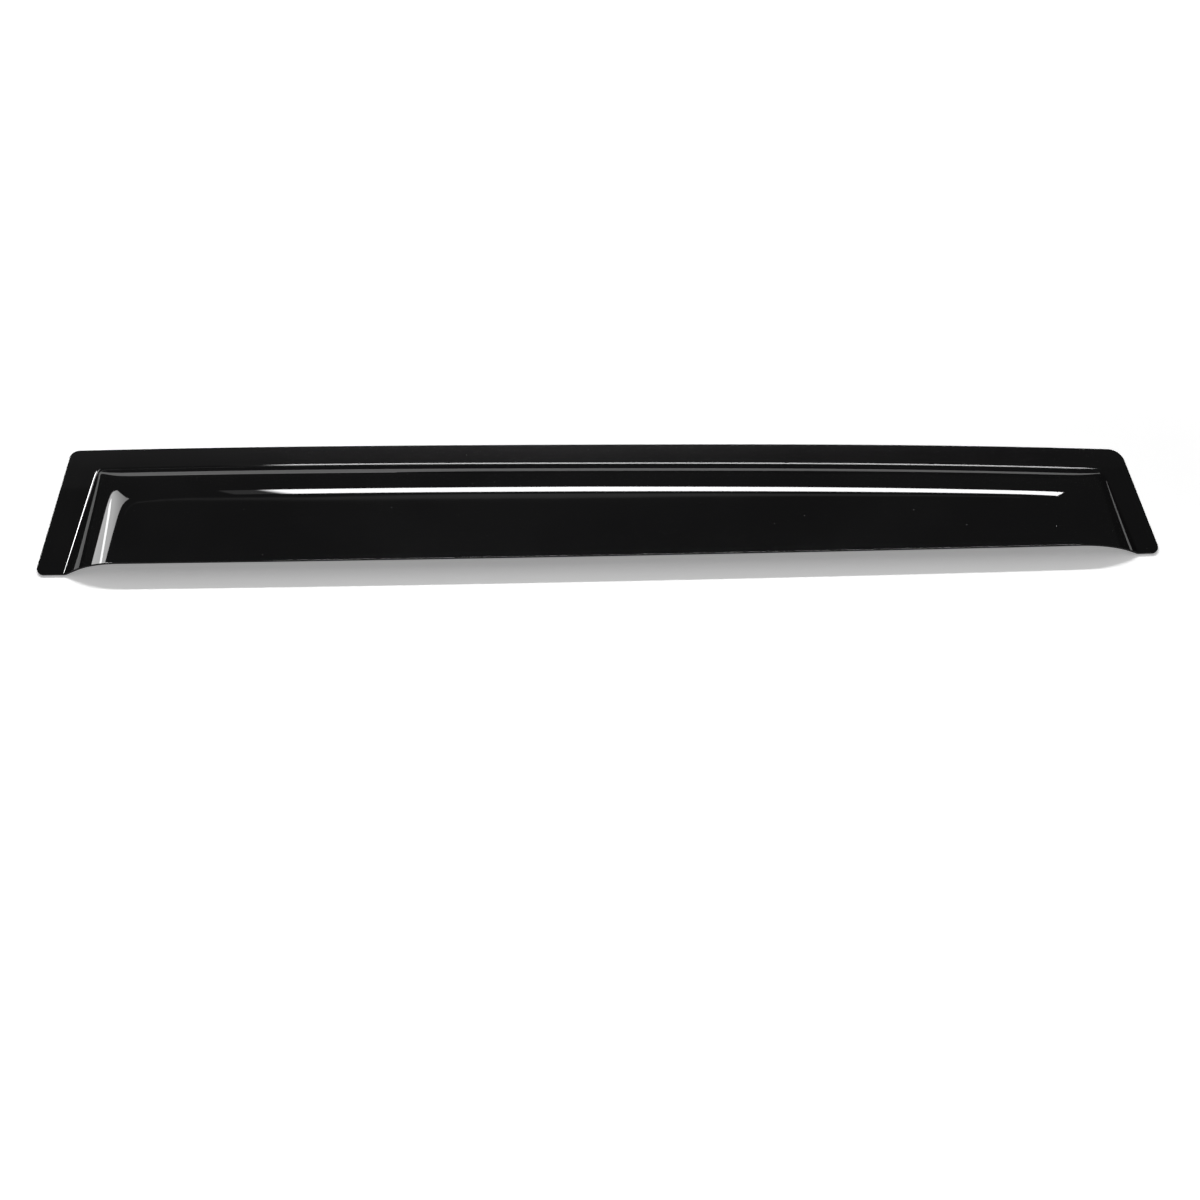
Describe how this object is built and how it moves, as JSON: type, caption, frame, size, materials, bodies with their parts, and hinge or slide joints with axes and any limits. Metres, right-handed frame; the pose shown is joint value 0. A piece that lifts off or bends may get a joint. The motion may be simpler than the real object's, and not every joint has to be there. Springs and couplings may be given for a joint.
{
  "type": "window rain deflector",
  "caption": "Moulded black acrylic window deflector: a flat taped land along its top and ends, rounded walls, and a panel that stands off the glass to a free lower edge.",
  "frame": {"origin": "under the middle of the outline's bounding box, on the bonding plane, which is the back of the tape's release liners", "axes": "+X along the length from the tall end to the short end, +Y up the door from the free edge to the top land, +Z out from the glass"},
  "size_m": [0.957, 0.1178, 0.0288],
  "materials": {
    "acrylic": "high-gloss smoke-black moulded acrylic sheet",
    "foam_tape": "matt grey closed-cell foam tape",
    "release_liner": "satin red film"
  },
  "bodies": {
    "root": {"deflector_shell": "acrylic", "tape_top": "foam_tape", "tape_tall_end": "foam_tape", "tape_short_end": "foam_tape", "liner_top": "release_liner", "liner_tall_end": "release_liner", "liner_short_end": "release_liner"}
  },
  "joints": []
}
